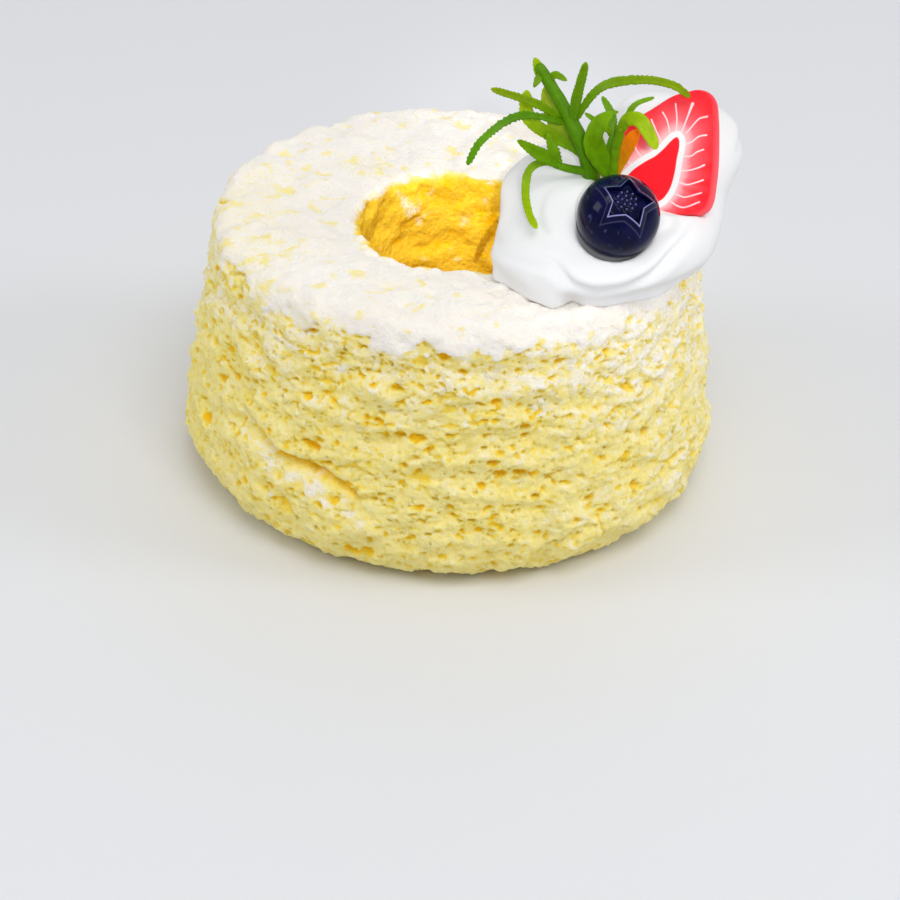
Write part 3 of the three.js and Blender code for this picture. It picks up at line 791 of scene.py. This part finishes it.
ring_mesh = spun(ring_profile(fine=1.5, coarse=3), columns=96)
ring_spots = mesh_numbers(ring_mesh)
set_points(ring_mesh, towards_hole(ring_spots, np.hypot(ring_spots[:, 0], ring_spots[:, 1])))
berry_room, _, _ = ball(columns=64, rows=40)
berry_room.transform(Matrix.Translation(BERRY_CENTRE) @ Matrix.Scale(BERRY_RADIUS + SEAT_GAP, 4))
gap_room, _, _ = ball(columns=64, rows=40)
gap_room.transform(Matrix.Translation(BERRY_CENTRE + BERRY_GAP) @ Matrix.Scale(BERRY_RADIUS, 4))
slice_seat = slice_room(front=SEAT_GAP, back=-SLICE_THICKNESS - SEAT_GAP, grown=SEAT_GAP, lowest=30)
before_slice = slice_room(front=12, back=-0.1, grown=0.3, lowest=SLICE_LEDGE)
cutters = [
    cutter("cake room", ring_mesh),
    cutter("berry room", berry_room),
    cutter("gap under the berry", gap_room),
    cutter("slice room", slice_seat),
    cutter("room before the slice", before_slice),
]
cuts = [("BOOLEAN", {"operation": "DIFFERENCE", "solver": "MANIFOLD", "object": tool})
        for tool in cutters]
cream_mesh = with_modifiers(cream_mesh, *cuts,
                            ("REMESH", {"mode": "VOXEL", "voxel_size": CREAM_VOXEL, "adaptivity": 0}),
                            ("SMOOTH", {"factor": 0.5, "iterations": 3}))
for tool in cutters:
    bpy.data.objects.remove(tool)
cream_mesh.transform(Matrix.Scale(MM, 4))
cream_mesh.shade_smooth()

cream_clay, add, surface = new_material("satin white clay")
waves = noise(160)
surface({"Base Color": ramp(waves, (0.3, linear(247, 247, 255)), (0.7, linear(250, 250, 255))),
         "Roughness": 0.34, "Specular IOR Level": 0.35, "Subsurface Weight": 0.6,
         "Subsurface Radius": (1, 0.9, 0.85), "Subsurface Scale": 0.003,
         "Normal": bumps((waves, 0.12, 0.0006))})

cream = finished("cream_dollop", cream_mesh, cream_clay)
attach(cream, "root")
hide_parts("cream")

# ---- The blueberry ----
# A ball of glossy navy plastic from a mould, with a sunk star for its calyx, raised dots on the
# star's floor and small scuffs all round. It is pressed into the cream.

CALYX = Vector((0.175, -0.596, 0.783))  # the way that the star faces
STAR_TURN = radians(8)
# The star's corners, each as its angle and its distance from the middle.
STAR_CORNERS = ((-176, 2.6), (-140, 4.15), (-105, 2.6), (-71, 4.1), (-35, 2.05), (9, 3.6), (46, 2.25),
                (74, 3.9), (118, 2.45), (146, 4))
FLOOR_HEIGHT, LEAST_RECESS = 4.75, 0.7  # of the star's floor above the middle, and below the ball
COLLAR_LIP, COLLAR_FOOT = 0.42, 0.07  # how far the collar round the star stands up, in and out
COLLAR_REACH = 1.27  # of its outer edge, in stars
STAR_REACH = 1.36  # how far the fine rows go, in stars
BERRY_COLUMNS, BERRY_ROWS, STAR_ROWS = 300, 180, 100
DOTS_X, DOTS_Y = 0.24, 0.05
DOT_RINGS = ((0, 1), (0.72, 5), (1.42, 10))  # radius, how many
DOT_WIDTH, DOT_HEIGHT = 0.21, 0.48


def star_edge(angle):
    """The distance from the star's middle to its edge, which is straight from corner to corner."""
    corners = np.array(STAR_CORNERS + STAR_CORNERS[:1])
    turns, reaches = np.radians(corners[:, 0]), corners[:, 1]
    turns[-1] += 2 * pi
    turned = np.mod(angle - turns[0], 2 * pi) + turns[0]
    after = np.clip(np.searchsorted(turns, turned, side="right"), 1, len(turns) - 1)
    a, b = reaches[after - 1], reaches[after]
    past_a, before_b = turned - turns[after - 1], turns[after] - turned
    return a * b * np.sin(past_a + before_b) / (a * np.sin(past_a) + b * np.sin(before_b))


berry_mesh, share, angle = ball(BERRY_COLUMNS, BERRY_ROWS)
row = share * BERRY_ROWS
edge = star_edge(angle)
star = np.minimum(row / STAR_ROWS, 1) * STAR_REACH  # distance from the middle, in stars
outer_angle = np.arcsin(edge * STAR_REACH / BERRY_RADIUS)
polar = lerp(outer_angle, pi, np.clip((row - STAR_ROWS) / (BERRY_ROWS - STAR_ROWS), 0, 1))
in_star = row <= STAR_ROWS
radius = np.where(in_star, star * edge, BERRY_RADIUS * np.sin(polar))
height = np.where(in_star, np.sqrt(BERRY_RADIUS ** 2 - radius ** 2), BERRY_RADIUS * np.cos(polar))
x, y = radius * np.cos(angle), radius * np.sin(angle)
collar = COLLAR_LIP * np.clip((COLLAR_REACH - star) / (COLLAR_REACH - 1), 0, 1)
collar += COLLAR_FOOT * (1 - smoothstep(star, COLLAR_REACH - 0.02, COLLAR_REACH + 0.03))
star_floor = np.minimum(FLOOR_HEIGHT, height - LEAST_RECESS)
dots = np.zeros(len(x))
for ring_radius, count in DOT_RINGS:
    for i in range(count):
        around = 2 * pi * (i + 0.3) / count
        dot_x, dot_y = ring_radius * cos(around), ring_radius * sin(around)
        distance = np.hypot(x - DOTS_X - dot_x, y - DOTS_Y - dot_y)
        dots = np.maximum(dots, np.where(in_star, bell(distance, DOT_WIDTH), 0))
star_floor += DOT_HEIGHT * dots
height = np.where(in_star, lerp(star_floor, height + collar, smoothstep(star, 0.88, 0.985)), height)
points = np.stack((x, y, height), axis=1)
points *= 1 + 0.007 * soft_noise(points, 2.6, 141)[:, None]
scuffed = smoothstep(soft_noise(points, 0.6, 143), 0.62, 0.85)
scuffed *= smoothstep(soft_noise(points, 3, 144), 0.1, 0.4) * ~in_star
points *= 1 + 0.012 * scuffed[:, None]
set_points(berry_mesh, points)
# The star's edge, brightest towards its bottom, the collar's edge and the dots are painted paler as
# highlights; the scuffs are a little paler too.
highlit_and_scuffed = (0.62 - 0.38 * np.cos(angle)) * bell(star - 1, 0.03) + 0.1 * bell(star - COLLAR_REACH, 0.03)
paint(berry_mesh, "highlit_and_scuffed", np.where(in_star, np.maximum(highlit_and_scuffed, 0.6 * dots ** 2), 0.12 * scuffed))
berry_turn = (Vector((0, 0, 1)).rotation_difference(CALYX.normalized())
              @ Quaternion((0, 0, 1), pi / 2 - STAR_TURN))
berry_mesh.transform(Matrix.Scale(MM, 4) @ Matrix.Translation(BERRY_CENTRE)
                     @ berry_turn.to_matrix().to_4x4())
berry_mesh.shade_smooth()

navy, add, surface = new_material("navy plastic")
mottle, scuffs = noise(500, detail=3), noise(1600)
navy_colour = ramp(mottle, (0.35, linear(1, 3, 34)), (0.7, linear(6, 9, 56)))
# The painted highlights and the scuffs are a pale blue over the navy.
surface({"Base Color": mix(painted("highlit_and_scuffed"), navy_colour, linear(150, 148, 205)),
         "Roughness": ranged(scuffs, 0.3, 0.75, 0.06, 0.18), "Specular IOR Level": 0.11,
         "Normal": bumps((scuffs, 0.06, 0.0001))})

berry = finished("berry", berry_mesh, navy)
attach(berry, "root")
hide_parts("blueberry")

# ---- The strawberry slice ----
# A slice cut from a rod of coloured clay: a red heart in a white line, and white veins that run out
# from it through the red flesh. It leans back against the cream.

SLICE_BEVEL = 0.6
SLICE_COLUMNS, FACE_ROWS, EDGE_ROWS, BACK_ROWS = 560, 84, 14, 24
CORE_MIDDLE = (0.3, -3.5)
CORE_OUTLINE = ((0.4, 3.2), (1.1, 3.5), (1.9, 2.9), (2.3, 1.6), (2.45, -0.1), (2.7, -1.8), (2.8, -4),
                (2.5, -5.7), (1.7, -7.1), (0, -8), (-3, -7.9), (-5.2, -7), (-6.1, -5.6), (-5.3, -4.2),
                (-4.4, -2.8), (-3, -1.3), (-1.8, -0.2), (-0.9, 1.1), (-0.2, 2.4))
CORE_LINE = 0.5  # half the white line's width
VEIN_WIDTH = 0.135  # half of it
# The veins, each as how much wider its outer end is, and its line from the core outwards.
VEINS = (
    (1, ((-1.2, 1.8), (-2.4, 3.1), (-3.7, 4.6))),
    (1, ((-0.2, 3.2), (-1.2, 5), (-2.3, 6.1))),
    (1, ((0.7, 3.7), (0.1, 5.9), (-0.7, 7.8))),
    (2.2, ((1.5, 4), (1.7, 6.1), (1.9, 8.4))),
    (1.3, ((2.3, 4), (3.2, 5.9), (3.7, 6.6), (4.7, 7.1))),
    (1.3, ((2.6, 2.3), (3.5, 2.9), (4.3, 3.9), (5.4, 4.4))),
    (1.1, ((2.8, 0.5), (4, 0.8), (4.7, 1.6), (5.6, 2.2))),
    (1.4, ((3, -1.7), (4.2, -1.4), (5.5, -0.7), (6.4, 0))),
    (1.2, ((3.2, -3.4), (4.6, -3.5), (5.8, -2.9), (6.9, -2.2))),
    (1, ((3.2, -5.2), (4.8, -5.4), (6, -4.8), (7.2, -4.1))),
    (1, ((2.9, -6.5), (4.1, -6.9), (5.4, -6.8), (7.3, -5.5))),
    (1, ((-3.5, -1.2), (-4.7, -0.3), (-5.4, 1))),
    (1, ((-4.6, -2.6), (-5.3, -2.4), (-5.9, -1.8))),
    (1, ((-5.4, -4.1), (-6.2, -3.9), (-6.9, -3.3))),
    (1, ((-6.3, -5.6), (-7, -5.6), (-7.5, -5.2))),
)


def distance_to(line, spots, closed=False):
    """The distance from each spot to a line of points, and how far along the line the nearest is."""
    best = np.full(len(spots), np.inf)
    place = np.zeros(len(spots))
    ends = np.roll(line, -1, axis=0) if closed else line[1:]
    for i, (a, b) in enumerate(zip(line, ends)):
        x, y = b - a
        over_x, over_y = (spots - a).T
        t = np.clip((over_x * x + over_y * y) / (x * x + y * y), 0, 1)
        distance = np.hypot(over_x - t * x, over_y - t * y)
        closer = distance < best
        best[closer] = distance[closer]
        place[closer] = (i + t[closer]) / len(ends)
    return best, place


slice_rows = FACE_ROWS + EDGE_ROWS + BACK_ROWS
slice_mesh, share, angle = ball(SLICE_COLUMNS, slice_rows)
row = share * slice_rows
edge = slice_outline(angle)
flat_edge = edge - SLICE_BEVEL
on_face, on_back = row <= FACE_ROWS, row >= FACE_ROWS + EDGE_ROWS
round_share = np.clip((row - FACE_ROWS) / EDGE_ROWS, 0, 1)
# Round the edge: a quarter turn, a straight wall, and a quarter turn back.
wall = SLICE_THICKNESS - 2 * SLICE_BEVEL
edge_height = np.clip(3.2 * (0.5 - round_share), -1, 1) * wall / 2
edge_height += SLICE_BEVEL * np.cos(pi * round_share)
height = np.where(on_face, 0, np.where(on_back, -SLICE_THICKNESS, edge_height - SLICE_THICKNESS / 2))
radius = flat_edge + SLICE_BEVEL * np.sin(pi * round_share)
radius = np.where(on_face, flat_edge * row / FACE_ROWS, radius)
radius = np.where(on_back, flat_edge * (slice_rows - row) / BACK_ROWS, radius)
spots = np.stack((radius * np.cos(angle), radius * np.sin(angle)), axis=1)

core = smooth_line(CORE_OUTLINE, 90, closed=True)
from_core, _ = distance_to(core, spots, closed=True)
core_x, core_y = (core - CORE_MIDDLE).T
spot_x, spot_y = (spots - CORE_MIDDLE).T
corner_angles, spot_angle = np.arctan2(core_y, core_x), np.arctan2(spot_y, spot_x)
order = np.argsort(corner_angles)
core_reach = np.interp(spot_angle, corner_angles[order], np.hypot(core_x, core_y)[order], period=2 * pi)
outside_core = np.hypot(spot_x, spot_y) > core_reach
round_core = np.stack((7 * np.cos(spot_angle), 7 * np.sin(spot_angle), 0 * spot_angle), axis=1)
feathers = soft_noise(round_core, 1, 151)
pink_reach = (2.15 + 0.45 * np.cos(spot_angle - pi / 2)) * (1 + 0.25 * feathers)
pink = 0.7 * np.exp(-((np.maximum(from_core - CORE_LINE, 0) / pink_reach) ** 1.5)) * outside_core
white = np.maximum(1 - smoothstep(from_core, CORE_LINE - 0.08, CORE_LINE + 0.08), pink)
for widening, stops in VEINS:
    off, place = distance_to(smooth_line(stops, 14), spots)
    width = VEIN_WIDTH * lerp(1, widening, place ** 3)
    white = np.maximum(white, 0.88 * outside_core * (1 - smoothstep(off, 0.45 * width, 1.35 * width)))
# A painted highlight pales the clay along the slice's edge, most of all at its right.
edge_highlight = 0.3 + 0.7 * np.clip(np.cos(angle + 0.3), 0, 1)
white = np.maximum(white, 0.24 * edge_highlight * bell(edge - radius, 0.4))

set_points(slice_mesh, np.column_stack((spots, height)))
paint(slice_mesh, "white", white)
slice_mesh.transform(Matrix.Scale(MM, 4) @ slice_place)
slice_mesh.shade_smooth()

red_clay, add, surface = new_material("red and white clay")
streaks = noise(700, detail=3)
slice_colour = ramp(varied(painted("white"), streaks, 0.06), (0.0, linear(255, 30, 44)),
                    (0.45, linear(255, 110, 120)), (0.8, linear(252, 214, 216)),
                    (1.0, linear(242, 242, 242)))
surface({"Base Color": slice_colour, "Roughness": 0.42, "Specular IOR Level": 0.15,
         "Subsurface Weight": 0.15, "Subsurface Radius": (1, 0.4, 0.4), "Subsurface Scale": 0.0006,
         "Normal": bumps((streaks, 0.08, 0.0001))})

strawberry = finished("strawberry", slice_mesh, red_clay)
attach(strawberry, "root")
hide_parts("strawberry_slice")

# ---- The sprigs ----
# Moulded soft plastic: stems with narrow leaves, darker at the stem and yellower towards the tips.
# Their stems are stuck into the cream.

STEM = (84, 132, 2)
DEEP = (74, 122, 2)
LEAF = (104, 144, 2)
OLIVE = (126, 148, 2)
LIME = (156, 182, 0)
PALE = (166, 184, 44)
AMBER = (170, 142, 4)
WARM = (240, 116, 6)
# Each: widths in the middle and at the tip, whether it is a round stem, how deep its teeth are, its
# colours at the foot and tip, and the line that it follows.
SPRIGS = {
    "sprig_left": (
        ((2.8, 1.7), True, 0, DEEP, STEM, (
            (20, -12.4, 55.2), (19.8, -12.6, 57.7), (18.7, -12.5, 61.3), (15.8, -11, 66.3),
            (12.3, -9, 71.3), (10.9, -8.5, 73.1))),
        ((2.1, 1.4), False, 0.12, LEAF, LIME, ((12, -8.9, 70.8), (10.5, -8, 73.9))),
        ((1.3, 0.8), False, 0.08, LEAF, LEAF, (
            (12.6, -9.2, 70.4), (13.7, -9.3, 71.8), (15.5, -10, 71.3))),
        ((1.2, 0.7), False, 0.08, LEAF, LEAF, ((11.7, -9, 72), (10.6, -10.3, 70.1))),
        ((1.55, 1.1), False, 0.25, STEM, OLIVE, ((15.6, -11, 65), (11.1, -13, 68.7), (4.2, -14, 71.3))),
        ((1.55, 1.3), False, 0.4, STEM, DEEP, (
            (15.9, -11.2, 65), (8.7, -15, 67.6), (3.4, -17, 64.5), (1.2, -18, 60.6))),
        ((2.1, 2.3), False, 0.14, STEM, LIME, (
            (18.2, -11.8, 60.6), (13.2, -9, 62), (10.1, -6.5, 63.4), (9.7, -5, 67.2))),
        ((2.7, 1.9), False, 0.14, LEAF, PALE, (
            (18.9, -12, 60), (15.2, -8, 61.8), (13.1, -6, 65.3), (12.7, -5.5, 68.6))),
        ((1.75, 1.25), False, 0.16, STEM, LEAF, (
            (16.6, -11.4, 64.6), (16.9, -13, 69.6), (17.9, -15, 76.7))),
        ((1.7, 1.3), False, 0.25, STEM, OLIVE, (
            (16.5, -11.4, 64.8), (20.4, -11, 70.8), (26.3, -9, 71.5), (31.2, -8.3, 70.6),
            (34.1, -8, 68.6))),
        ((1.4, 1.1), True, 0, STEM, STEM, (
            (19.8, -12.9, 57.8), (16.4, -13.5, 58.6), (14.1, -13.7, 59.3))),
        ((2.3, 1), False, 0.16, STEM, LEAF, (
            (15.2, -13.6, 59.1), (11.5, -14.5, 61.5), (8.5, -15.2, 63.7))),
        ((2.1, 0.9), False, 0.2, STEM, LEAF, ((15, -13.7, 59), (14.1, -13.6, 61.1), (13, -13.1, 64.1))),
        ((1.35, 1.1), False, 0.12, STEM, LIME, (
            (16.8, -13.4, 58.5), (13, -13.6, 59.5), (10.6, -14.6, 58.6), (10.1, -17, 56.2),
            (10.7, -20.5, 54.5), (11.9, -24, 53.7))),
    ),
    "sprig_right": (
        ((1.6, 1.2), True, 0, DEEP, STEM, (
            (22.9, -14.8, 55), (22.8, -14.8, 57.5), (22.4, -14, 61.4), (22.7, -13.5, 64.4))),
        ((3.4, 1.8), False, 0, STEM, LEAF, (
            (22.6, -15, 58.4), (19.9, -16.3, 64), (20.2, -17, 67.6), (22.1, -17, 69.8))),
        ((1.1, 0.6), False, 0.1, LEAF, LEAF, ((22.4, -13.6, 64.8), (20.6, -14, 66.4), (18.3, -13, 67.6))),
        ((1, 0.6), False, 0.1, LEAF, LEAF, ((22.4, -13.4, 64.2), (21, -13.8, 67.4), (23.3, -13, 68.1))),
        ((1.6, 0.9), False, 0.14, STEM, LEAF, ((22.8, -13.6, 63.8), (22.3, -12, 67), (20.8, -11, 69.5))),
        ((1.6, 1.3), True, 0, STEM, LEAF, (
            (23.1, -15, 56), (23, -15, 59.1), (23.1, -15, 62.4), (23.8, -16, 67.3))),
        ((2.2, 1.7), False, 0, LEAF, LIME, (
            (23.6, -15.9, 66.4), (24.5, -17, 68.7), (26.4, -18.2, 69), (28.9, -20, 65.6))),
        ((1, 0.55), False, 0.1, LEAF, LEAF, (
            (23.7, -15.8, 66.8), (25.4, -15.2, 70.2), (28.3, -14.4, 71.3))),
        ((2.6, 2.2), False, 0, AMBER, WARM, (
            (22.7, -14.6, 57.4), (24.2, -14, 61.6), (26.4, -13.7, 65.6))),
    ),
}
FROND_COLUMNS, FROND_ROWS = 16, 72
LEAF_THICKNESS = 0.34  # half of it, at the midrib
WIDEST_AT = 0.45  # of a leaf's length, from its foot
TOOTH = 0.66  # from one to the next
TOWARDS_FRONT = np.array((0, -0.85, 0.53))


def unit(vectors):
    return vectors / np.linalg.norm(vectors, axis=-1, keepdims=True)


def frond(widths, is_round, teeth, stops):
    """One stem or leaf: a ball drawn out along the line, with rounded ends."""
    mesh, share, angle = ball(FROND_COLUMNS, FROND_ROWS)
    line = smooth_line(stops, 200)
    steps = np.concatenate(((0,), np.cumsum(np.linalg.norm(np.diff(line, axis=0), axis=1))))
    length = steps[-1]
    t = smoothstep(share, 0, 1) * 0.35 + share * 0.65
    place = np.stack([np.interp(t * length, steps, line[:, axis]) for axis in range(3)], axis=1)
    slopes = np.gradient(line, axis=0)
    along = unit(np.stack([np.interp(t * length, steps, slopes[:, axis]) for axis in range(3)], axis=1))
    across = unit(np.cross(along, TOWARDS_FRONT))
    through = np.cross(across, along)
    widest, tip = widths
    if is_round:
        width = lerp(widest, tip, t)
    else:
        swelling = lerp(0.65 * widest, widest, t / WIDEST_AT)
        narrowing = lerp(widest, tip, (t - WIDEST_AT) / (1 - WIDEST_AT))
        width = np.where(t < WIDEST_AT, swelling, narrowing)
    to_point = 0.5 if is_round else 1.25  # a leaf's tip is drawn out
    end = np.minimum(t * length / (0.5 * width), (1 - t) * length / (to_point * width))
    half = width / 2 * np.sqrt(1 - (1 - np.clip(end, 0, 1)) ** 2)
    half *= 1 + 0.06 * soft_noise(place, 0.8, 163)
    side = np.where(np.cos(angle) > 0, 0.4, 0)
    tooth = np.abs((t * length / TOOTH + side + 0.9 * soft_noise(place, 1.6, 161)) % 1 - 0.5) * 2
    half *= 1 - teeth * tooth * np.abs(np.cos(angle)) ** 3
    thick = half if is_round else np.minimum(half, LEAF_THICKNESS * (1 - 0.4 * t))
    sideways = half * np.cos(angle)
    deep = thick * np.sin(angle)
    if not is_round:
        deep += 0.22 * np.abs(sideways) - 0.1 * bell(sideways, 0.22) * (np.sin(angle) > 0)
    points = place + across * sideways[:, None] + through * deep[:, None]
    set_points(mesh, points)
    return mesh, t


green_plastic, add, surface = new_material("green plastic")
veining = noise(900, detail=3)
shaded = add("VectorMath", {0: painted("green", "Color"), "Scale": ranged(veining, 0.3, 0.7, 0.86, 1.1)},
             operation="SCALE")[0]
surface({"Base Color": shaded, "Roughness": 0.42, "Specular IOR Level": 0.09, "Subsurface Weight": 0.2,
         "Subsurface Radius": (0.6, 1, 0.1), "Subsurface Scale": 0.0008,
         "Normal": bumps((veining, 0.15, 0.00015))})

for name, fronds in SPRIGS.items():
    form = bmesh.new()
    greens = form.verts.layers.float_color.new("green")
    for widths, is_round, teeth, foot_colour, tip_colour, stops in fronds:
        frond_mesh, shares = frond(widths, is_round, teeth, stops)
        start = len(form.verts)
        form.from_mesh(frond_mesh)
        form.verts.ensure_lookup_table()
        foot_green, tip_green = linear(*foot_colour), linear(*tip_colour)
        for corner, t in zip(form.verts[start:], shares):
            corner[greens] = Vector(foot_green).lerp(Vector(tip_green), float(t))
    bmesh.ops.scale(form, vec=(MM, MM, MM), verts=form.verts)
    sprig_mesh = bpy.data.meshes.new(name)
    form.to_mesh(sprig_mesh)
    form.free()
    sprig_mesh.shade_smooth()
    sprig = finished(name + "_leaves", sprig_mesh, green_plastic)
    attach(sprig, "root")
    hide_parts(name)
